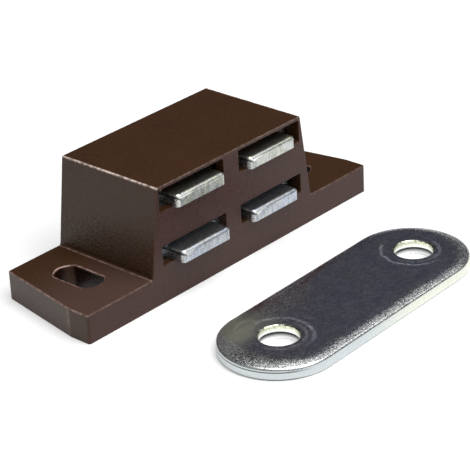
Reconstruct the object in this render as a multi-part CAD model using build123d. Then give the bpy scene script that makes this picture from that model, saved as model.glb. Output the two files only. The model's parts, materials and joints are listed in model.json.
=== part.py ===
from build123d import *
from math import cos, radians, sin
import os

# Magnetic catch for a cabinet door: a moulded housing with two floating magnet packs, and its strike plate.
#
# Frame: X runs along the housing, the pole plates look out of the front towards -Y, Z is up, and the
# origin is the middle of the housing's underside, which is screwed to the cabinet. Millimetres.

# ---- housing: outside -------------------------------------------------------------------------
base_length = 60.0          # end to end along X, at the front
base_depth = 18.6           # front to back
base_height = 4.4           # thickness of the two screw flanges
overall_height = 17.8
block_top_length = 30.5     # the raised block is drafted: shorter at its top ...
block_foot_length = 34.3    # ... than where it stands on the flanges
end_square_depth = 3.6      # how far back from the front the two ends stay square
end_draw_in = 2.65          # how far each end has drawn in at the back
base_corner_radius = 0.3
moulding_edge_radius = 0.15 # upright corners of the block, running on along the flanges' top edges
block_rim_radius = 0.15     # around the top of the block
foot_radius = 0.3           # in the inner corner where the block meets a flange

# ---- housing: walls, windows and bays ---------------------------------------------------------
front_wall = 1.4
rear_wall = 1.6
roof = 0.55
web = 0.7                   # between the two bays
mullion = 3.2               # between the windows, in the front wall
window_width = 13.3
lower_sill = 5.75           # height of the lower windows' sill
lower_window_height = 2.95
window_edge_radius = 0.1

# ---- housing: screw slots and the hollows under the flanges ------------------------------------
slot_pitch = 45.0
slot_width = 4.2
slot_length = 8.0
slot_end_rise = 1.1         # how far the curved ends stand out past the straight sides
slot_corner_radius = 0.5    # where a straight side meets a curved end
slot_rim_radius = 0.2
flange_skin = 1.6           # top skin of a flange over its hollow
flange_rim = 1.5            # wall around a flange's hollow
slot_collar = 1.3           # wall around a slot, inside the hollow
hollow_corner_radius = 0.6

# ---- bottom cover -----------------------------------------------------------------------------
cover_thickness = 1.5
cover_ledge = 1.5           # width of the seat it rests against, at each end
cover_clearance = 0.05      # all round its edge
cover_corner_radius = 0.6
runner_width = 1.2          # the ribs that the lower pole plates lie on
runner_spacing = 8.0        # between the two runners of one bay
runner_end_gap = 0.4

# ---- magnet packs -----------------------------------------------------------------------------
head_room = 1.5             # over the upper pole plates, so that a pack can rise
magnet_side_clearance = 0.45
magnet_front_clearance = 0.15
magnet_rear_clearance = 0.45
magnet_edge = 0.35          # small bevel on the pressed ferrite block

plate_thickness = 1.8
tongue_side_play = 3.3      # how much narrower than its window a tongue is
tongue_reach = 2.0          # past the front wall, with the shoulders against the wall
plate_side_play = 0.95      # how much narrower than its bay a plate's body is
plate_travel = 1.8          # front to back, between front wall and rear wall
plate_end_clearance = 0.1
tongue_corner_radius = 0.7
tongue_roll = 0.55          # rounded upper edge of a tongue
plate_corner_radius = 0.5

# Each pole plate lies where it was left: how far its tongue stands out of the front wall, and how far
# it lies off the middle of its bay, outwards being positive.
plate_rest = {
    "upper_left": (1.0, -0.35),
    "upper_right": (0.9, 0.4),
    "lower_left": (1.9, 0.1),
    "lower_right": (1.35, 0.2),
}

# ---- strike plate -----------------------------------------------------------------------------
strike_length = 46.9
strike_width = 17.1
strike_thickness = 2.1
strike_crown_radius = 6.0   # the face falls away in a low crown towards its edge ...
strike_crown_tilt = 18.0    # ... until it has turned by this many degrees ...
strike_edge_radius = 0.45   # ... and rolls over into the side
strike_hole_diameter = 5.7
strike_hole_pitch = 30.65
strike_hole_shift = 0.4     # how far the pair of holes is off the plate's middle, along the plate
strike_hole_rim = 0.15      # small bevel around each hole
strike_under_edge = 0.15
strike_gap = 12.4           # from the housing's front to the plate that lies before it
strike_offset = -0.35       # along X
strike_turn = 1.4           # degrees

# ---- worked out -------------------------------------------------------------------------------
front = -base_depth / 2
back = base_depth / 2
ceiling = overall_height - roof
lower_head = lower_sill + lower_window_height
upper_sill = ceiling - head_room - plate_thickness
magnet_height = upper_sill - lower_sill - plate_thickness
window_inner = mullion / 2
window_outer = window_inner + window_width
bay_inner = web / 2
bay_front = front + front_wall
bay_back = back - rear_wall
bay_width = window_outer - bay_inner
bay_middle = (window_outer + bay_inner) / 2
bay_depth = bay_back - bay_front
tongue_width = window_width - tongue_side_play
tongue_length = front_wall + tongue_reach
plate_width = bay_width - plate_side_play
plate_body_length = bay_depth - plate_travel - plate_end_clearance
strike_middle = front - strike_gap - strike_width / 2
sides = {"left": -1, "right": 1}


def block_between(x0, x1, y0, y1, z0, z1):
    """A box given by its limits along each axis, in either order."""
    size = (abs(x1 - x0), abs(y1 - y0), abs(z1 - z0))
    middle = ((x0 + x1) / 2, (y0 + y1) / 2, (z0 + z1) / 2)
    return Pos(*middle) * Box(*size)


def slot_outline(side, grow=0.0):
    """A screw slot's outline: two straight sides joined by shallow arcs, grown outwards all round."""
    x = side * slot_pitch / 2
    half_width = slot_width / 2 + grow
    half_length = slot_length / 2 + grow
    half_side = half_length - slot_end_rise
    right_side = Line((x + half_width, -half_side), (x + half_width, half_side))
    rear_end = ThreePointArc((x + half_width, half_side), (x, half_length), (x - half_width, half_side))
    left_side = Line((x - half_width, half_side), (x - half_width, -half_side))
    front_end = ThreePointArc((x - half_width, -half_side), (x, -half_length), (x + half_width, -half_side))
    outline = make_face(Wire([right_side, rear_end, left_side, front_end]))
    return fillet(outline.vertices(), slot_corner_radius + grow)


def base_outline(inset=0.0):
    """The base seen from above: square at the front, its ends drawing in towards the back."""
    x_front = base_length / 2 - inset
    x_back = base_length / 2 - end_draw_in - inset
    y_front = front + inset
    y_bend = front + end_square_depth
    y_back = back - inset
    half = [(x_front, y_front), (x_front, y_bend), (x_back, y_back)]
    return make_face(Polyline(*half, *[(-x, y) for x, y in reversed(half)], close=True))


def housing_outside():
    """Base and drafted block in one piece, with the edge radii of the moulding."""
    base = extrude(base_outline(), base_height)
    foot = block_foot_length / 2
    top = block_top_length / 2
    profile = Polyline((-foot, base_height), (foot, base_height), (top, overall_height),
                       (-top, overall_height), close=True)
    block = Pos(0, back, 0) * extrude(make_face(Plane.XZ * profile), base_depth)
    outside = base + block

    upright = outside.edges().filter_by(Axis.Z)
    corners = [e for e in upright if abs(e.center().Y - front - end_square_depth) > 0.01]
    outside = fillet(corners, base_corner_radius)
    feet = [e for e in outside.edges().filter_by(Axis.Y)
            if abs(e.center().Z - base_height) < 0.01 and abs(abs(e.center().X) - foot) < 0.01]
    outside = fillet(feet, foot_radius)
    middle_height = (base_height + overall_height) / 2
    slanted = [e for e in outside.edges()
               if abs(e.center().Z - middle_height) < 1.0 and abs(e.center().X) > top
               and e.length > (overall_height - base_height) / 2]
    outside = fillet(slanted, moulding_edge_radius)
    return fillet(outside.faces().sort_by(Axis.Z)[-1].edges(), block_rim_radius)


def flange_hollow(side):
    """The hollow moulded into a flange from below, with the slot's collar left standing in it."""
    depth = base_height - flange_skin
    near = block_foot_length / 2
    far = base_length
    area = base_outline(flange_rim) & Pos((near + far) / 2 * side, 0) * Rectangle(far - near, base_depth * 2)
    hollow = extrude(area, depth)
    hollow = fillet(hollow.edges().filter_by(Axis.Z), hollow_corner_radius)
    return hollow - extrude(slot_outline(side, slot_collar), depth)


def housing():
    solid = housing_outside()
    for side in sides.values():
        inner, outer = side * window_inner, side * window_outer
        solid -= block_between(side * bay_inner, outer, bay_front, bay_back, 0, ceiling)
        for low, high in ((lower_sill, lower_head), (upper_sill, ceiling)):
            solid -= block_between(inner, outer, front - 1, bay_front, low, high)
        solid -= flange_hollow(side)
        solid -= extrude(slot_outline(side), base_height)
    seat_end = window_outer + cover_ledge
    solid -= block_between(-seat_end, seat_end, bay_front, bay_back, 0, cover_thickness)

    slot_rims = [e for e in solid.edges()
                 if abs(e.bounding_box().min.Z - base_height) < 0.001
                 and abs(e.bounding_box().max.Z - base_height) < 0.001
                 and abs(abs(e.center().X) - slot_pitch / 2) < slot_width / 2 + 0.01
                 and abs(e.center().Y) < slot_length / 2 + 0.01]
    solid = fillet(slot_rims, slot_rim_radius)
    window_rims = [e for e in solid.edges()
                   if abs(e.bounding_box().min.Y - front) < 0.001
                   and abs(e.bounding_box().max.Y - front) < 0.001
                   and abs(e.center().X) < window_outer + 0.01
                   and lower_sill - 0.01 < e.center().Z < ceiling + 0.01]
    return fillet(window_rims, window_edge_radius)


def bottom_cover():
    """Closes both bays from below; each bay has two runners that carry its lower pole plate."""
    half_length = window_outer + cover_ledge - cover_clearance
    floor = block_between(-half_length, half_length, bay_front + cover_clearance,
                          bay_back - cover_clearance, 0, cover_thickness)
    floor = fillet(floor.edges().filter_by(Axis.Z), cover_corner_radius)
    for side in sides.values():
        for across in (-1, 1):
            middle = side * bay_middle + across * runner_spacing / 2
            floor += block_between(middle - runner_width / 2, middle + runner_width / 2,
                                   bay_front + runner_end_gap, bay_back - runner_end_gap,
                                   cover_thickness, lower_sill)
    return floor


def magnet(side):
    """A pressed ferrite block, held between the two pole plates of its bay."""
    inner = side * (bay_inner + magnet_side_clearance)
    outer = side * (window_outer - magnet_side_clearance)
    low = lower_sill + plate_thickness
    block = block_between(inner, outer, bay_front + magnet_front_clearance,
                          bay_back - magnet_rear_clearance, low, low + magnet_height)
    return chamfer(block.edges().filter_by(Axis.Z), magnet_edge)


def pole_plate(side, low, reach, outwards):
    """A punched plate: its tongue passes the window and its shoulders stay behind the mullion."""
    half_tongue = tongue_width / 2
    half_body = plate_width / 2
    y_front = front - reach
    y_shoulder = y_front + tongue_length
    y_back = y_shoulder + plate_body_length
    x = side * (bay_middle + outwards)
    half = [(half_tongue, y_front), (half_tongue, y_shoulder), (half_body, y_shoulder), (half_body, y_back)]
    outline = [(x + dx, y) for dx, y in half] + [(x - dx, y) for dx, y in reversed(half)]
    plate = Pos(0, 0, low) * extrude(make_face(Polyline(*outline, close=True)), plate_thickness)

    upright = plate.edges().filter_by(Axis.Z)
    tips = [e for e in upright if abs(e.center().Y - y_front) < 0.01]
    plate = fillet(tips, tongue_corner_radius)
    upright = plate.edges().filter_by(Axis.Z)
    outer_corners = [e for e in upright if abs(abs(e.center().X - x) - half_body) < 0.01]
    plate = fillet(outer_corners, plate_corner_radius)
    upper_edges = plate.faces().sort_by(Axis.Z)[-1].edges()
    return fillet([e for e in upper_edges if e.center().Y < y_shoulder - 0.01], tongue_roll)


def strike_half_section():
    """Half of the plate's section, from its middle to its edge: flat, a low crown, then the rolled edge."""
    edge = strike_width / 2
    tilt = radians(strike_crown_tilt)
    crown_width = strike_crown_radius * sin(tilt) + strike_edge_radius * (1 - sin(tilt))
    crown_x = edge - crown_width
    crown_z = strike_thickness - strike_crown_radius
    centre_gap = strike_crown_radius - strike_edge_radius
    roll_x = crown_x + centre_gap * sin(tilt)
    roll_z = crown_z + centre_gap * cos(tilt)
    roll_angle = 90 - strike_crown_tilt
    crown = CenterArc((crown_x, crown_z), strike_crown_radius, roll_angle, strike_crown_tilt)
    roll = CenterArc((roll_x, roll_z), strike_edge_radius, 0, roll_angle)
    rest = Polyline((edge, roll_z), (edge, strike_under_edge), (edge - strike_under_edge, 0), (0, 0),
                    (0, strike_thickness), (crown_x, strike_thickness))
    return make_face(Wire([crown, roll, *rest.edges()]))


def strike_plate():
    """The steel plate that goes on the door: round-ended, crowned at its edge, with two plain screw holes."""
    section = strike_half_section()
    straight = strike_length - strike_width
    long_side = Pos(-straight / 2, 0, 0) * extrude(Plane.YZ * section, straight)
    round_end = Rot(0, 0, -90) * revolve(Plane.XZ * section, Axis.Z, 180)
    blank = long_side + Rot(0, 0, 180) * long_side
    for turn in (0, 180):
        blank += Rot(0, 0, turn) * Pos(straight / 2, 0, 0) * round_end
    for along in (-1, 1):
        hole = Cylinder(strike_hole_diameter / 2, strike_thickness * 3)
        blank -= Pos(strike_hole_shift + along * strike_hole_pitch / 2, 0, 0) * hole
    top_rims = blank.faces().sort_by(Axis.Z)[-1].edges().filter_by(GeomType.CIRCLE)
    rims = [e for e in top_rims if abs(e.radius - strike_hole_diameter / 2) < 0.01]
    blank = chamfer(rims, strike_hole_rim)
    return Pos(strike_offset, strike_middle, 0) * Rot(0, 0, strike_turn) * blank


def model():
    """Every piece by the name of its node."""
    pieces = {"housing": housing(), "bottom_cover": bottom_cover(), "strike_plate": strike_plate()}
    for name, side in sides.items():
        pieces[f"magnet_{name}"] = magnet(side)
        for level, low in (("upper", upper_sill), ("lower", lower_sill)):
            reach, outwards = plate_rest[f"{level}_{name}"]
            pieces[f"pole_plate_{level}_{name}"] = pole_plate(side, low, reach, outwards)
    return pieces


os.makedirs("parts", exist_ok=True)
for node, piece in model().items():
    export_step(piece, f"parts/{node}.step")
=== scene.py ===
"""Looks of the magnetic catch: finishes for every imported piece, the studio, the lamps and the camera.

Metres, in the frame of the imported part: X along the housing, the pole plates look out towards -Y, Z is up,
and the origin is the middle of the housing's underside.
"""

import json
import math

import bpy
from mathutils import Matrix, Vector

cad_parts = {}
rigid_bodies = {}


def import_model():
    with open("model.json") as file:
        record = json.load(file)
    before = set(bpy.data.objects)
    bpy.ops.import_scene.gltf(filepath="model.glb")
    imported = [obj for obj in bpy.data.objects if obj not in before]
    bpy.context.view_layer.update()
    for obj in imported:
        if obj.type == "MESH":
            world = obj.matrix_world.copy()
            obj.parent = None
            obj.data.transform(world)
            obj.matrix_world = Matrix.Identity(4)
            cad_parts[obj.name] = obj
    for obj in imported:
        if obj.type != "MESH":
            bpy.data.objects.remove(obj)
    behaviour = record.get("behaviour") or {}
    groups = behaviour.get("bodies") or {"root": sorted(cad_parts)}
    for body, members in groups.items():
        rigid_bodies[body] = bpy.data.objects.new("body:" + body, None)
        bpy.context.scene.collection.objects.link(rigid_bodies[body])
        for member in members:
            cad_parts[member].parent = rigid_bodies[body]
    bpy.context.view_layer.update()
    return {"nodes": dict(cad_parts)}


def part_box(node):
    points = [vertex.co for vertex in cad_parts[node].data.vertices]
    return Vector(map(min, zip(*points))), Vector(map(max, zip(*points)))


MM = 0.001

# ---- camera, a little above the front left corner ----------------------------------------------
CAMERA_AZIMUTH = -47.04
CAMERA_ELEVATION = 26.62
CAMERA_ROLL = -2.98
CAMERA_DISTANCE = 308.2 * MM
CAMERA_ASIDE = 6.75 * MM
CAMERA_ABOVE = 1.56 * MM
CAMERA_LENS = 159.5
CAMERA_NEAREST = 10 * MM
SENSOR_WIDTH = 36.0

# ---- housing, as its finish needs it: the lines that are rubbed and carry painted highlights ----
BLOCK_TOP = 30.5 * MM         # length of the block, along X, at its top
BLOCK_FOOT = 34.3 * MM        # and at its foot
FLANGE_TOP = 4.4 * MM         # height of the flanges
END_SQUARE = 3.6 * MM         # the ends are square this far back from the front
END_DRAW_IN = 2.65 * MM       # and then draw in by this much
SLOT_PITCH = 45.0 * MM
SLOT_WIDTH = 4.2 * MM
SLOT_LENGTH = 8.0 * MM
SLOT_RISE = 1.1 * MM          # of a slot's low curved end
RIM_GLINT_INSET = 0.05 * MM      # the middle of the block's rubbed and highlit rim lies this far inside its edge

# ---- pole plates ---------------------------------------------------------------------------------
TONGUE_WIDTH = 10.0 * MM      # of a pole plate, where it comes out of its window
FACET_HIGHLIGHT_DEPTH = 0.95 * MM       # of the painted highlight on the punched corner's facet, at the corner
FACET_HIGHLIGHT_TAPER = 0.2             # how fast the facet's painted highlight gets narrower along the upper edge
NOTCH_SLOPE = 0.5              # how fast the painted dark notch under the facet falls along the plate

# ---- strike plate, as its finish needs it --------------------------------------------------------
STRIKE_LENGTH = 46.9 * MM
STRIKE_WIDTH = 17.1 * MM
STRIKE_TURN = 1.4             # degrees, about the upright axis
STRIKE_HOLE_RADIUS = 2.85 * MM
STRIKE_HOLE_PITCH = 30.65 * MM
STRIKE_HOLE_SHIFT = 0.4 * MM  # of the pair of holes, along the plate
OUTER_RING = 1.66             # middles of the scuffed rings, in radii of the hole
INNER_RING = 1.32

# ---- studio ------------------------------------------------------------------------------------
FLOOR_SIZE = 3.0
FLOOR_GREY = 0.8
FLOOR_GAP = 0.02 * MM         # the floor lies this far below the underside, so that no faces coincide
SHORT_RAY = 5 * FLOOR_GAP     # rays shorter than this pass the floor
LIFT_NEAR = 0.36              # how far the floor's white is raised for the eye and for mirrors
LIFT_FAR = 1.0
LIFT_FROM = 0.2               # distances from the origin between which the lift grows
LIFT_TO = 0.6
NEAR_ROOM = (0.30, 0.30, 0.30)
FAR_ROOM = (0.04, 0.042, 0.05)
FAR_SIDE = (0.73, 0.68)       # horizontal direction in which the room is dark
ROOM_BLEND = 0.3              # half the width of the blend between the two sides of the room
WHITE = (1, 1, 1, 1)


# ---- colours -----------------------------------------------------------------------------------
def srgb(red, green, blue):
    """Linear colour of an 8-bit display colour."""
    def linear(value):
        """One channel: straight near black, and a power of 2.4 above it."""
        share = value / 255
        return share / 12.92 if share <= 0.04045 else ((share + 0.055) / 1.055) ** 2.4
    return (linear(red), linear(green), linear(blue), 1.0)


BROWN_DEEP = srgb(58, 37, 20)
BROWN_PALE = srgb(67, 43, 24)
BROWN_SPECK = srgb(68, 44, 28)
# painted shade of the faces that look to the front
BROWN_FRONT_SHADE = srgb(60, 30, 24)
# painted sheen on the left flange
BROWN_FLANGE_SHEEN = srgb(92, 74, 68)
# colours of the rubbed lines and their painted highlights, low down and round the block's top
LOW_RIM_GLINT = srgb(188, 158, 148)
TOP_RIM_GLINT = srgb(250, 226, 216)
SLOT_SHADE = srgb(22, 12, 9)
COVER_DEEP = srgb(50, 36, 29)
COVER_PALE = srgb(58, 42, 33)

COOL_ZINC = srgb(206, 216, 232)
COOL_ZINC_PALE = srgb(224, 228, 230)
WARM_ZINC = srgb(222, 226, 224)
WARM_ZINC_YELLOW = srgb(226, 229, 206)
# painted shade of the pole plates' front faces
FRONT_SHADE_ZINC = srgb(120, 122, 124)
STREAK_GREY = srgb(110, 112, 114)
# painted shade that dims the highlight on the rolled edge
ROLL_SHADE = srgb(120, 122, 122)
# painted highlight on the corner's facet
FACET_HIGHLIGHT = srgb(250, 252, 250)
# painted shade of the notch under the corner's facet
NOTCH_SHADE = srgb(44, 46, 48)
TORN_GREY = srgb(104, 100, 98)
CUT_PALE = srgb(206, 206, 204)

FLAT_VIOLET = srgb(206, 208, 226)
FLAT_BLUE = srgb(230, 230, 242)
FLAT_OLIVE = srgb(228, 230, 208)
LEFT_BACK_OLIVE = srgb(224, 227, 208)
CROWN_GREY = srgb(196, 198, 200)
CROWN_WHITE = srgb(250, 252, 248)
LIP_OLIVE = srgb(120, 122, 104)
LIP_CREAM = srgb(250, 252, 226)
EDGE_LEFT = srgb(199, 205, 207)
EDGE_RIGHT = srgb(221, 224, 213)
EDGE_YELLOW = srgb(232, 222, 160)
WALL_FOOT = srgb(250, 252, 250)
WALL_TOP = srgb(236, 240, 212)
WALL_PIT = srgb(120, 124, 100)
WALL_BAND = srgb(34, 36, 38)
# painted shade and contact shadow on the strike plate's edge
EDGE_SHADE = srgb(60, 64, 60)

FERRITE_DARK = srgb(44, 44, 47)
FERRITE_PALE = srgb(60, 60, 62)


# ---- small helpers for node materials ----------------------------------------------------------
def feed(tree, socket, source):
    """Links source to the socket if it is an output, and otherwise sets the socket to that value."""
    if isinstance(source, bpy.types.NodeSocket):
        tree.links.new(source, socket)
    else:
        socket.default_value = source


def add_node(tree, kind, sources=None, **settings):
    """A new node with its settings; sources says what goes into its inputs, by their names or places."""
    made = tree.nodes.new(kind)
    for key, value in settings.items():
        setattr(made, key, value)
    for name, source in (sources or {}).items():
        feed(tree, made.inputs[name], source)
    return made


class Finish:
    """A node material under construction: its tree, its Principled shader and short ways to add nodes."""

    def __init__(self, name):
        """Starts a material with a Principled shader and the piece's own coordinates."""
        self.material = bpy.data.materials.new(name)
        self.material.use_nodes = True
        self.tree = self.material.node_tree
        self.shader = self.tree.nodes["Principled BSDF"]
        self.place = self.node("ShaderNodeTexCoord").outputs["Object"]

    def node(self, kind, sources=None, **settings):
        """A new node of this material."""
        return add_node(self.tree, kind, sources, **settings)

    def moved(self, offset=(0, 0, 0), stretch=(1, 1, 1), turn=(0, 0, 0), vector=None):
        """Coordinates stretched, then turned, then shifted."""
        sources = {"Vector": vector or self.place, "Location": offset, "Rotation": turn, "Scale": stretch}
        return self.node("ShaderNodeMapping", sources).outputs["Vector"]

    def noise(self, size, detail=3.0, roughness=0.55, vector=None):
        """Noise whose largest lumps are about size metres across, from 0 to 1."""
        sources = {"Vector": vector or self.place, "Scale": 1 / size, "Detail": detail,
                   "Roughness": roughness}
        return self.node("ShaderNodeTexNoise", sources).outputs["Fac"]

    def math(self, operation, first, second=0.0):
        """One step of arithmetic on one or two values."""
        return self.node("ShaderNodeMath", {0: first, 1: second}, operation=operation).outputs[0]

    def chain(self, operation, first, *others):
        """The values taken one after another by the same operation."""
        total = first
        for other in others:
            total = self.math(operation, total, other)
        return total

    def product(self, *values):
        """The values multiplied."""
        return self.chain("MULTIPLY", *values)

    def plus(self, *values):
        """The values added up."""
        return self.chain("ADD", *values)

    def most(self, *values):
        """The largest of the values."""
        return self.chain("MAXIMUM", *values)

    def minus(self, first, second):
        """The first value less the second."""
        return self.math("SUBTRACT", first, second)

    def unsigned(self, value):
        """The value without its sign."""
        return self.math("ABSOLUTE", value)

    def length(self, first, second):
        """Length of a step with two parts square to each other."""
        return self.math("SQRT", self.plus(self.product(first, first), self.product(second, second)))

    def ramp(self, value, low, high, to_low=0.0, to_high=1.0):
        """Value taken smoothly from low..high to to_low..to_high."""
        sources = {"Value": value, "From Min": low, "From Max": high, "To Min": to_low, "To Max": to_high}
        made = self.node("ShaderNodeMapRange", sources, interpolation_type="SMOOTHSTEP")
        return made.outputs["Result"]

    def near(self, value, middle, reach):
        """1 where value is at middle, falling smoothly to 0 at a distance of reach."""
        return self.ramp(self.unsigned(self.minus(value, middle)), 0.0, reach, 1.0, 0.0)

    def blend(self, share, first, second):
        """Colour from first to second by share."""
        sources = {"Factor": share, "A": first, "B": second}
        return self.node("ShaderNodeMix", sources, data_type="RGBA").outputs["Result"]

    def axes(self, vector=None):
        """The three parts of a vector, by default of the place on the piece."""
        split = self.node("ShaderNodeSeparateXYZ", {0: vector or self.place})
        return split.outputs[0], split.outputs[1], split.outputs[2]

    def normal(self):
        """The true normal's three parts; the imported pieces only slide, so their axes never turn."""
        return self.axes(self.node("ShaderNodeNewGeometry").outputs["Normal"])

    def bump(self, height, distance, strength, normal=None):
        """Normal tipped by a height whose 1 stands for distance metres, laid over another one if given."""
        sources = {"Height": height, "Strength": strength, "Distance": distance}
        if normal is not None:
            sources["Normal"] = normal
        return self.node("ShaderNodeBump", sources).outputs["Normal"]

    def edges(self, radius):
        """1 on edges sharper than radius, 0 on flat faces: how far a rounded normal leaves the true one."""
        rounded = self.node("ShaderNodeBevel", {"Radius": radius}, samples=6)
        true_normal = self.node("ShaderNodeNewGeometry").outputs["Normal"]
        agreement = self.node("ShaderNodeVectorMath", {0: rounded.outputs[0], 1: true_normal},
                              operation="DOT_PRODUCT")
        return self.ramp(self.minus(1.0, agreement.outputs["Value"]), 0.02, 0.25)

    def set(self, **sources):
        """Sets or links sockets of the Principled shader; underscores stand for blanks in their names."""
        for name, source in sources.items():
            feed(self.tree, self.shader.inputs[name.replace("_", " ")], source)


# ---- finishes ----------------------------------------------------------------------------------
def rubbed_and_glinting_lines(finish, x, y, z):
    """How far the moulding is rubbed light, with painted highlights, along its crisp lines, and how far a
    place is inside a slot.

    The lines are the rims of the block's top, the outer and front rims of the flanges, the block's feet,
    the slots' mouths, and the crease where a flange's end begins to draw in. A slot's end is a low arc:
    it falls back by four rises times the square of the way across over the slot's width.
    """
    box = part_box("housing")[1]
    top, end, back = box.z, box.x, box.y
    aside = finish.unsigned(x)
    on_top = finish.ramp(z, top - 0.3 * MM, top - 0.1 * MM)
    block_side = finish.near(aside, BLOCK_TOP / 2 - RIM_GLINT_INSET, 0.26 * MM)
    front_line = finish.near(y, RIM_GLINT_INSET - back, 0.16 * MM)
    block_rim = finish.product(on_top, finish.most(block_side, finish.product(front_line, 0.14)))

    past_bend = finish.most(finish.minus(y, END_SQUARE - back), 0.0)
    drawn_in = finish.product(past_bend, END_DRAW_IN / (2 * back - END_SQUARE))
    from_end = finish.minus(finish.minus(end, drawn_in), aside)
    on_flange = finish.product(finish.ramp(z, FLANGE_TOP - 0.3 * MM, FLANGE_TOP - 0.12 * MM),
                               finish.ramp(z, FLANGE_TOP + 0.6 * MM, FLANGE_TOP + 0.4 * MM))
    outer_line = finish.product(finish.near(from_end, 0.06 * MM, 0.18 * MM), 0.6)
    foot_line = finish.product(finish.near(aside, BLOCK_FOOT / 2 + 0.25 * MM, 0.22 * MM), 0.5)
    past_foot = finish.ramp(aside, BLOCK_FOOT / 2, BLOCK_FOOT / 2 + 1 * MM)
    front_rim = finish.product(front_line, 0.25, past_foot)

    over = finish.minus(aside, SLOT_PITCH / 2)
    arc = finish.product(over, over, 4 * SLOT_RISE / SLOT_WIDTH ** 2)
    past_side = finish.minus(finish.unsigned(over), SLOT_WIDTH / 2)
    past_end = finish.plus(finish.minus(finish.unsigned(y), SLOT_LENGTH / 2), arc)
    past_slot = finish.most(past_side, past_end)
    slot_line = finish.product(finish.near(past_slot, 0.12 * MM, 0.2 * MM),
                               finish.ramp(y, -3 * MM, -1 * MM, 0.45, 1.0))
    flange_lines = finish.most(outer_line, foot_line, front_rim, slot_line)
    inside_slot = finish.product(finish.ramp(past_slot, 0.06 * MM, 0.0),
                                 finish.ramp(z, FLANGE_TOP, FLANGE_TOP - 0.4 * MM))

    below_flange = finish.ramp(z, FLANGE_TOP - 0.1 * MM, FLANGE_TOP - 0.5 * MM)
    crease = finish.product(finish.near(y, END_SQUARE - back + 0.4 * MM, 0.6 * MM), below_flange,
                            finish.ramp(z, 0.8 * MM, 2.2 * MM), finish.ramp(from_end, 0.5 * MM, 0.1 * MM))
    lines = finish.most(block_rim, finish.product(on_flange, flange_lines), finish.product(crease, 0.2))
    return lines, inside_slot


def moulded_plastic():
    """Dark brown moulding: satin, with spark-eroded grain, faint clouds, rubbed edges with painted
    highlights, painted shade on the front faces, and a painted sheen on the left flange.
    """
    finish = Finish("moulded_brown")
    x, y, z = finish.axes()
    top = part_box("housing")[1].z
    across, ahead, upright = finish.normal()
    clouds = finish.noise(9 * MM, detail=4)
    specks = finish.noise(0.45 * MM, detail=4, roughness=0.7)
    deep = finish.blend(finish.ramp(clouds, 0.3, 0.7), BROWN_DEEP, BROWN_PALE)
    body = finish.blend(finish.ramp(specks, 0.35, 0.65), deep, BROWN_SPECK)
    # painted shade: the faces that look to the front are painted darker and redder
    front_face = finish.ramp(finish.product(ahead, -1.0), 0.8, 0.95)
    body = finish.blend(finish.product(front_face, 0.8), body, BROWN_FRONT_SHADE)

    # painted sheen: the left flange is painted paler towards the front, where light glances off it
    left_flange = finish.product(finish.ramp(x, 0.0, -BLOCK_TOP / 2), finish.ramp(upright, 0.7, 0.95),
                                 finish.ramp(z, FLANGE_TOP + 0.1 * MM, FLANGE_TOP))
    flange_sheen = finish.product(left_flange, finish.ramp(y, 8 * MM, -8 * MM))
    body = finish.blend(finish.product(flange_sheen, 0.6), body, BROWN_FLANGE_SHEEN)

    # the rubbed lines, with their painted highlights, are broken up by noise, and are palest round the
    # block's top
    lines, inside_slot = rubbed_and_glinting_lines(finish, x, y, z)
    broken = finish.ramp(finish.noise(0.9 * MM, detail=4, roughness=0.65), 0.36, 0.6, 0.25, 1.0)
    patchy = finish.ramp(finish.noise(0.6 * MM, detail=3), 0.42, 0.62)
    worn_and_glint = finish.product(finish.edges(0.25 * MM), patchy, 0.6)
    rubbed_and_glint = finish.most(finish.product(lines, broken), worn_and_glint)
    rim_glint_colour = finish.blend(finish.ramp(z, top - 1 * MM, top - 0.5 * MM), LOW_RIM_GLINT, TOP_RIM_GLINT)
    body = finish.blend(rubbed_and_glint, body, rim_glint_colour)
    body = finish.blend(finish.product(inside_slot, 0.75), body, SLOT_SHADE)

    # the grain is deeper low on the block's two ends
    low_side = finish.product(finish.ramp(finish.unsigned(across), 0.8, 0.95),
                              finish.ramp(z, 13 * MM, 7 * MM),
                              finish.ramp(z, FLANGE_TOP, FLANGE_TOP + 1 * MM))
    grain = finish.noise(0.36 * MM, detail=3, roughness=0.7)
    fine = finish.noise(0.16 * MM, detail=2, roughness=0.6)
    swell = finish.noise(1.6 * MM, detail=2)
    normal = finish.bump(fine, 0.01 * MM, 0.7, finish.bump(swell, 0.05 * MM, 0.25))
    deeper = finish.product(grain, finish.ramp(low_side, 0.0, 1.0, 1.0, 3.6))
    finish.set(Base_Color=body, Roughness=finish.ramp(specks, 0.2, 0.8, 0.24, 0.34),
               Normal=finish.bump(deeper, 0.05 * MM, 0.9, normal))
    finish.shader.inputs["Specular IOR Level"].default_value = 0.27
    return finish.material


def cover_plastic():
    """The cover is another moulding, duller and plainer."""
    finish = Finish("cover_brown")
    clouds = finish.noise(6 * MM, detail=4)
    body = finish.blend(finish.ramp(clouds, 0.3, 0.7), COVER_DEEP, COVER_PALE)
    grain = finish.noise(0.22 * MM, detail=2)
    finish.set(Base_Color=body, Roughness=finish.ramp(clouds, 0.2, 0.8, 0.42, 0.55),
               Normal=finish.bump(grain, 0.012 * MM, 0.7))
    return finish.material


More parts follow.
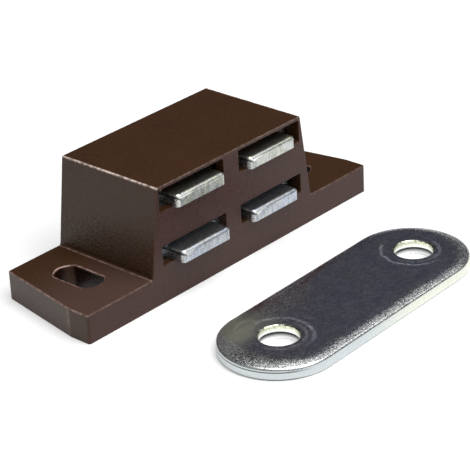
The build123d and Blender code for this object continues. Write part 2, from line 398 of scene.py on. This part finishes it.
def zinc_plate(name):
    """A punched pole plate: bright zinc with painted shade on its front faces, a painted highlight on a
    facet at its left corner over a painted dark notch, and dull sheared sides.

    The upper plates are yellower and the lower ones bluer. Places are reckoned from the tongue's left
    side and from the plate's top, so each plate has a finish of its own.
    """
    finish = Finish(name + "_zinc")
    low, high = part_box(name)
    x, _, height = finish.axes()
    from_left = finish.minus(x, (low.x + high.x) / 2 - TONGUE_WIDTH / 2)
    below_top = finish.minus(high.z, height)
    across, ahead, upright = finish.normal()
    sheared = finish.ramp(finish.unsigned(across), 0.5, 0.85)
    front = finish.ramp(finish.product(ahead, -1.0), 0.86, 0.98)
    level = finish.ramp(upright, 0.9, 0.998)
    roll = finish.product(finish.ramp(upright, 0.1, 0.3), finish.ramp(upright, 0.95, 0.8))
    clouds = finish.noise(1.7 * MM, detail=4)
    grain = finish.noise(0.34 * MM, detail=5, roughness=0.75)
    specks = finish.noise(0.22 * MM, detail=3, roughness=0.7)

    upper = finish.ramp(height, 10 * MM, 12 * MM)
    cool = finish.blend(finish.ramp(clouds, 0.35, 0.65), COOL_ZINC, COOL_ZINC_PALE)
    warm = finish.blend(finish.ramp(clouds, 0.35, 0.65), WARM_ZINC, WARM_ZINC_YELLOW)
    tint = finish.blend(upper, cool, warm)
    # painted shade: the faces that look to the front are painted darker
    body = finish.blend(front, tint, finish.blend(0.28, tint, FRONT_SHADE_ZINC))
    streaks = finish.noise(0.5 * MM, detail=4, roughness=0.7, vector=finish.moved(stretch=(1.0, 1.0, 0.35)))
    body = finish.blend(finish.ramp(streaks, 0.58, 0.36, 0.0, 0.4), body, STREAK_GREY)
    # painted shade dims the highlight on the rolled edge away from the left corner
    far_end = finish.ramp(from_left, 2.5 * MM, 5 * MM)
    body = finish.blend(finish.product(roll, far_end, 0.1), body, ROLL_SHADE)

    # the painted highlight of the corner's facet tapers off along the upper edge, over a small painted dark
    # notch
    taper = finish.minus(FACET_HIGHLIGHT_DEPTH, finish.product(from_left, FACET_HIGHLIGHT_TAPER))
    wander = finish.product(finish.minus(clouds, 0.5), 0.5 * MM)
    inside = finish.plus(finish.minus(taper, below_top), wander)
    facet_highlight = finish.product(finish.ramp(inside, -0.05 * MM, 0.12 * MM), finish.ramp(upright, 0.85, 0.5),
                           finish.ramp(from_left, 0.2 * MM, 0.5 * MM))
    body = finish.blend(facet_highlight, body, FACET_HIGHLIGHT)
    slope = finish.minus(below_top, finish.product(from_left, NOTCH_SLOPE))
    notch_shade = finish.product(finish.near(slope, 0.42 * MM, 0.3 * MM),
                          finish.ramp(from_left, 1.0 * MM, 0.5 * MM))

    torn = finish.blend(finish.ramp(specks, 0.42, 0.62), TORN_GREY, CUT_PALE)
    body = finish.blend(sheared, body, torn)
    # painted shade: the dark notch under the facet's highlight
    body = finish.blend(finish.product(notch_shade, 0.9), body, NOTCH_SHADE)
    duller = finish.most(finish.product(level, 0.05), finish.product(roll, 0.13))
    rough = finish.plus(finish.ramp(grain, 0.2, 0.8, 0.22, 0.34), finish.product(sheared, 0.15), duller)
    depth = finish.product(grain, finish.ramp(level, 0.0, 1.0, 1.0, 1.3))
    finish.set(Base_Color=body, Metallic=1.0, Roughness=rough, Normal=finish.bump(depth, 0.03 * MM, 0.6))
    return finish.material


def strike_zinc():
    """The strike plate's zinc, in the plate's own turned axes: along it, and across it towards the back.

    The flat is dark and mottled, the crown round the rim is bright and grained, scuffed rings lie round
    the holes, and the holes have a speckled lip and a wall with a dark band low on it.
    """
    finish = Finish("mottled_zinc")
    low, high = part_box("strike_plate")
    middle = (low + high) / 2
    top = high.z
    centred = finish.moved(offset=tuple(-middle))
    along, across, _ = finish.axes(finish.moved(turn=(0, 0, -math.radians(STRIKE_TURN)), vector=centred))
    height = finish.axes()[2]
    upright = finish.normal()[2]
    from_middle = finish.unsigned(finish.minus(along, STRIKE_HOLE_SHIFT))
    from_hole = finish.length(finish.minus(from_middle, STRIKE_HOLE_PITCH / 2), across)
    past_straight = finish.minus(finish.unsigned(along), (STRIKE_LENGTH - STRIKE_WIDTH) / 2)
    from_spine = finish.length(finish.most(past_straight, 0.0), across)
    clouds = finish.noise(4 * MM, detail=5)
    patches = finish.noise(1.3 * MM, detail=4, roughness=0.65)
    grain = finish.noise(0.38 * MM, detail=5, roughness=0.75)

    # the bright rim wanders in width, is wider at both tips and narrower along the back
    wander = finish.product(finish.minus(clouds, 0.5), 2.4 * MM)
    wider_right = finish.ramp(along, 14 * MM, 21 * MM, 0.0, 0.6 * MM)
    wider_left = finish.ramp(along, -17 * MM, -21 * MM, 0.0, 2.0 * MM)
    narrower = finish.ramp(across, 2 * MM, 5 * MM, 0.0, -1.3 * MM)
    reach = finish.plus(from_spine, wander, wider_right, wider_left, narrower)
    rim = finish.ramp(reach, STRIKE_WIDTH / 2 - 2.3 * MM, STRIKE_WIDTH / 2 - 0.5 * MM)

    dark = finish.blend(finish.ramp(patches, 0.35, 0.65), FLAT_VIOLET, FLAT_BLUE)
    dark = finish.blend(finish.ramp(clouds, 0.45, 0.72, 0.0, 0.35), dark, FLAT_OLIVE)
    left_back = finish.product(finish.ramp(along, -9 * MM, -16 * MM), finish.ramp(across, 0.5 * MM, 4 * MM),
                               finish.ramp(clouds, 0.3, 0.5, 0.6, 1.0))
    dark = finish.blend(left_back, dark, LEFT_BACK_OLIVE)
    pale = finish.blend(finish.ramp(grain, 0.38, 0.6), CROWN_GREY, CROWN_WHITE)
    body = finish.blend(rim, dark, pale)

    # two scuffed rings round each hole: the outer one towards the plate's middle, the inner one in front
    ringed = finish.plus(from_hole, finish.product(finish.minus(patches, 0.5), 1.1 * MM))
    inward = finish.ramp(from_middle, STRIKE_HOLE_PITCH / 2 + 0.5 * MM, STRIKE_HOLE_PITCH / 2 - 2.5 * MM)
    outer_ring = finish.product(finish.near(ringed, STRIKE_HOLE_RADIUS * OUTER_RING, 0.42 * MM), inward)
    inner_ring = finish.product(finish.near(ringed, STRIKE_HOLE_RADIUS * INNER_RING, 0.4 * MM),
                                finish.ramp(across, 1.5 * MM, -2.5 * MM), 0.7)
    scuffed = finish.product(finish.most(outer_ring, inner_ring), finish.ramp(grain, 0.35, 0.6, 0.3, 1.0))

    on_top = finish.ramp(height, top - 0.4 * MM, top - 0.25 * MM)
    lip_zone = finish.ramp(from_hole, STRIKE_HOLE_RADIUS + 0.3 * MM, STRIKE_HOLE_RADIUS + 0.1 * MM)
    lip = finish.blend(finish.ramp(grain, 0.42, 0.58), LIP_OLIVE, LIP_CREAM)
    body = finish.blend(finish.product(lip_zone, on_top), body, lip)

    # upright faces: the plate's edge outside, and the walls of the holes, pitted above, with a dark band
    # lower down that fades back to pale at the foot
    side = finish.ramp(finish.unsigned(upright), 0.75, 0.4)
    in_hole = finish.ramp(from_hole, STRIKE_HOLE_RADIUS + 0.1 * MM, STRIKE_HOLE_RADIUS + 0.02 * MM)
    outside = finish.blend(finish.ramp(along, -8 * MM, 6 * MM), EDGE_LEFT, EDGE_RIGHT)
    outside = finish.blend(finish.ramp(along, 17 * MM, 21 * MM, 0.0, 0.6), outside, EDGE_YELLOW)
    wall = finish.blend(finish.ramp(height, top * 0.5, top * 0.9), WALL_FOOT, WALL_TOP)
    pitted = finish.product(finish.ramp(height, top * 0.6, top * 0.85), finish.ramp(grain, 0.56, 0.42), 0.5)
    wall = finish.blend(pitted, wall, WALL_PIT)
    dark_band = finish.product(finish.ramp(height, top * 0.54, top * 0.47),
                               finish.ramp(height, 0.0, top * 0.45))
    wall = finish.blend(dark_band, wall, WALL_BAND)
    body = finish.blend(side, body, finish.blend(in_hole, outside, wall))

    # painted shade: a dark line on the left tip's edge, where its roll meets the side, and a painted contact
    # shadow along the edge's foot
    left_tip = finish.ramp(along, -17 * MM, -21 * MM)
    seam_shade = finish.product(finish.near(height, top * 0.58, 0.16 * MM), side, left_tip)
    foot_shadow = finish.product(finish.ramp(height, 0.3 * MM, 0.12 * MM),
                          finish.ramp(left_tip, 0.0, 1.0, 0.35, 1.0))
    out_of_hole = finish.ramp(in_hole, 0.0, 1.0, 1.0, 0.0)
    body = finish.blend(finish.product(finish.most(seam_shade, foot_shadow), out_of_hole), body, EDGE_SHADE)

    rough = finish.plus(finish.ramp(grain, 0.2, 0.8, 0.2, 0.32),
                        finish.product(left_back, 0.11), finish.product(scuffed, 0.22))
    coarse = finish.most(rim, finish.product(left_back, 0.75))
    depth = finish.product(grain, finish.ramp(coarse, 0.0, 1.0, 0.22, 1.0),
                           finish.ramp(side, 0.0, 1.0, 1.0, 0.1))
    finish.set(Base_Color=body, Metallic=1.0, Roughness=rough,
               Normal=finish.bump(depth, 0.08 * MM, 0.9, finish.bump(patches, 0.03 * MM, 0.25)))
    return finish.material


def ferrite():
    """Pressed and ground ferrite: charcoal grey, dull, with fine pores."""
    finish = Finish("ground_ferrite")
    clouds = finish.noise(2 * MM, detail=4)
    grain = finish.noise(0.2 * MM, detail=4, roughness=0.7)
    body = finish.blend(finish.ramp(clouds, 0.3, 0.7), FERRITE_DARK, FERRITE_PALE)
    finish.set(Base_Color=body, Metallic=0.0, Roughness=finish.ramp(grain, 0.2, 0.8, 0.55, 0.75),
               Normal=finish.bump(grain, 0.03 * MM, 0.7))
    return finish.material


def dress(nodes):
    """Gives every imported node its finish."""
    finishes = {"housing": moulded_plastic(), "bottom_cover": cover_plastic(),
                "strike_plate": strike_zinc()}
    magnet = ferrite()
    for name, node in nodes.items():
        node.data.materials.clear()
        if name.startswith("pole_plate"):
            node.data.materials.append(zinc_plate(name))
        else:
            node.data.materials.append(finishes.get(name, magnet))


# ---- studio ------------------------------------------------------------------------------------
def seen_by_eye_or_mirror(tree):
    """1 for rays from the camera, or from something that mirrors or passes them on."""
    path = add_node(tree, "ShaderNodeLightPath")
    total = path.outputs["Is Camera Ray"]
    for name in ("Is Glossy Ray", "Is Transmission Ray"):
        larger = add_node(tree, "ShaderNodeMath", {0: total, 1: path.outputs[name]}, operation="MAXIMUM")
        total = larger.outputs[0]
    return total


def floor():
    """A pale floor, white to the eye, which keeps the set's shadow and can be looked through from below."""
    mesh = bpy.data.meshes.new("floor")
    half = FLOOR_SIZE / 2
    corners = [(-half, -half, -FLOOR_GAP), (half, -half, -FLOOR_GAP),
               (half, half, -FLOOR_GAP), (-half, half, -FLOOR_GAP)]
    mesh.from_pydata(corners, [], [(0, 1, 2, 3)])
    plane = bpy.data.objects.new("floor", mesh)
    bpy.context.scene.collection.objects.link(plane)
    material = bpy.data.materials.new("pale_floor")
    material.use_nodes = True
    tree = material.node_tree
    tree.nodes.clear()
    geometry = add_node(tree, "ShaderNodeNewGeometry")
    matt = add_node(tree, "ShaderNodeBsdfDiffuse", {"Color": (FLOOR_GREY,) * 3 + (1,)})

    # the lift grows with the distance from the set, where the lamps no longer reach
    distance = add_node(tree, "ShaderNodeVectorMath", {0: geometry.outputs["Position"]}, operation="LENGTH")
    grown = add_node(tree, "ShaderNodeMapRange", {"Value": distance.outputs["Value"],
                                                  "From Min": LIFT_FROM, "From Max": LIFT_TO,
                                                  "To Min": LIFT_NEAR, "To Max": LIFT_FAR})
    lift = add_node(tree, "ShaderNodeEmission", {"Strength": grown.outputs["Result"]})
    both = add_node(tree, "ShaderNodeAddShader", {0: matt.outputs[0], 1: lift.outputs[0]})
    lit = add_node(tree, "ShaderNodeMixShader", {0: seen_by_eye_or_mirror(tree), 1: matt.outputs[0],
                                                 2: both.outputs[0]})

    # clear from below, and to light that comes up to the faces that stand on the floor
    ray_length = add_node(tree, "ShaderNodeLightPath").outputs["Ray Length"]
    short = add_node(tree, "ShaderNodeMath", {0: ray_length, 1: SHORT_RAY}, operation="LESS_THAN")
    passed = add_node(tree, "ShaderNodeMath", {0: geometry.outputs["Backfacing"], 1: short.outputs[0]},
                      operation="MAXIMUM")
    see_through = add_node(tree, "ShaderNodeBsdfTransparent")
    surface = add_node(tree, "ShaderNodeMixShader", {0: passed.outputs[0], 1: lit.outputs[0],
                                                     2: see_through.outputs[0]})
    add_node(tree, "ShaderNodeOutputMaterial", {"Surface": surface.outputs[0]})
    mesh.materials.append(material)


def room():
    """Dim behind the set and paler on the side of the eye, and plain white to the camera."""
    world = bpy.data.worlds.new("room")
    bpy.context.scene.world = world
    world.use_nodes = True
    tree = world.node_tree
    tree.nodes.clear()
    direction = add_node(tree, "ShaderNodeTexCoord").outputs["Generated"]
    away = add_node(tree, "ShaderNodeVectorMath", {0: direction, 1: FAR_SIDE + (0,)},
                    operation="DOT_PRODUCT")
    side = add_node(tree, "ShaderNodeMapRange",
                    {"Value": away.outputs["Value"], "From Min": -ROOM_BLEND, "From Max": ROOM_BLEND},
                    interpolation_type="SMOOTHSTEP")
    shade = add_node(tree, "ShaderNodeMix",
                     {"Factor": side.outputs["Result"], "A": NEAR_ROOM + (1,), "B": FAR_ROOM + (1,)},
                     data_type="RGBA")
    to_camera = add_node(tree, "ShaderNodeLightPath").outputs["Is Camera Ray"]
    chosen = add_node(tree, "ShaderNodeMix",
                      {"Factor": to_camera, "A": shade.outputs["Result"], "B": WHITE},
                      data_type="RGBA")
    background = add_node(tree, "ShaderNodeBackground", {"Color": chosen.outputs["Result"]})
    add_node(tree, "ShaderNodeOutputWorld", {"Surface": background.outputs[0]})


def outward(azimuth, elevation):
    """Unit step from the origin, by degrees: azimuth 0 is in front, 90 to the right, elevation 90 above."""
    a, e = math.radians(azimuth), math.radians(elevation)
    return Vector((math.sin(a) * math.cos(e), -math.cos(a) * math.cos(e), math.sin(e)))


def softbox(name, azimuth, elevation, distance, size, power):
    """A square white lamp that looks at the origin."""
    lamp = bpy.data.lights.new(name, "AREA")
    lamp.shape = "SQUARE"
    lamp.size = size
    lamp.energy = power
    thing = bpy.data.objects.new(name, lamp)
    bpy.context.scene.collection.objects.link(thing)
    away = outward(azimuth, elevation)
    thing.location = away * distance
    thing.rotation_euler = away.to_track_quat("Z", "Y").to_euler()


def lamps():
    """A large softbox over the set and a weaker one in front of it."""
    softbox("overhead", azimuth=20, elevation=72, distance=0.8, size=0.8, power=6.5)
    softbox("front", azimuth=0, elevation=40, distance=1.0, size=0.6, power=1.5)


def camera():
    """Looks past the middle of the set from the front left, a little above it."""
    back = outward(CAMERA_AZIMUTH, CAMERA_ELEVATION)
    a, roll = math.radians(CAMERA_AZIMUTH), math.radians(CAMERA_ROLL)
    level = Vector((math.cos(a), math.sin(a), 0))
    upright = back.cross(level)
    right = level * math.cos(roll) + upright * math.sin(roll)
    up = upright * math.cos(roll) - level * math.sin(roll)
    lens = bpy.data.cameras.new("camera")
    lens.lens = CAMERA_LENS
    lens.sensor_width = SENSOR_WIDTH
    lens.clip_start = CAMERA_NEAREST
    thing = bpy.data.objects.new("camera", lens)
    bpy.context.scene.collection.objects.link(thing)
    place = right * CAMERA_ASIDE + up * CAMERA_ABOVE + back * CAMERA_DISTANCE
    turned = Matrix((right, up, back)).transposed().to_4x4()
    thing.matrix_world = Matrix.Translation(place) @ turned
    bpy.context.scene.camera = thing


def clear():
    """Takes everything out of the scene before the part is loaded."""
    for thing in list(bpy.data.objects):
        bpy.data.objects.remove(thing)


clear()
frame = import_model()
bpy.context.scene.view_settings.view_transform = "Standard"
dress(frame["nodes"])
floor()
room()
lamps()
camera()
